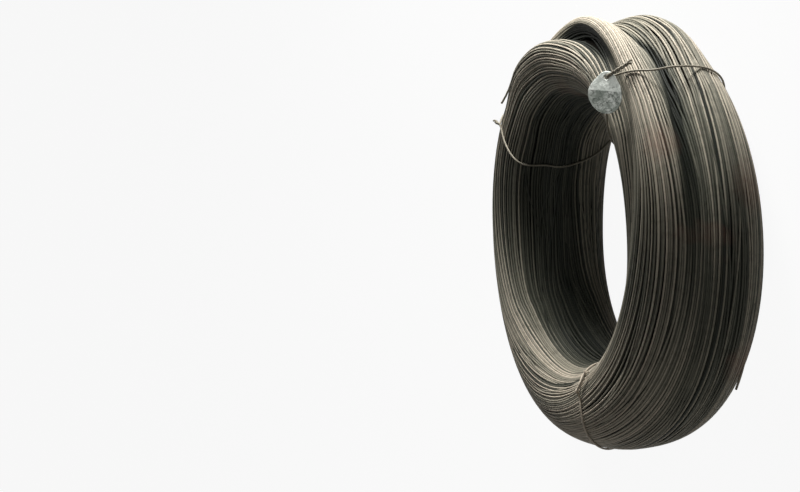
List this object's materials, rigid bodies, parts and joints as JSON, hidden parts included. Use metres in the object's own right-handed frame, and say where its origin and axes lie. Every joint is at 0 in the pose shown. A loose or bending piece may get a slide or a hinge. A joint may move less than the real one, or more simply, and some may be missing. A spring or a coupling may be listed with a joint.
{
  "type": "coil of annealed wire",
  "caption": "Tied ring of soft dark annealed steel wire with an oval bore, three tie wires and a small blank metal tag on a twisted tie.",
  "frame": {"origin": "on the floor, on the axis of the bore", "axes": "+Z along the bore's axis, up from the floor to the tagged face; +X to the ring's right side and +Y to its top as seen from the tagged face"},
  "size_m": [0.3604, 0.3396, 0.106],
  "materials": {
    "annealed_wire": "dark oxide left by annealing, dull, with brown tints",
    "tie_wire": "the same dark oxide",
    "tag_metal": "dull, stained grey"
  },
  "bodies": {
    "root": {"wire_coil": "annealed_wire", "tagged_tie": "tie_wire", "side_tie": "tie_wire", "bottom_tie": "tie_wire", "metal_tag": "tag_metal"}
  },
  "joints": []
}
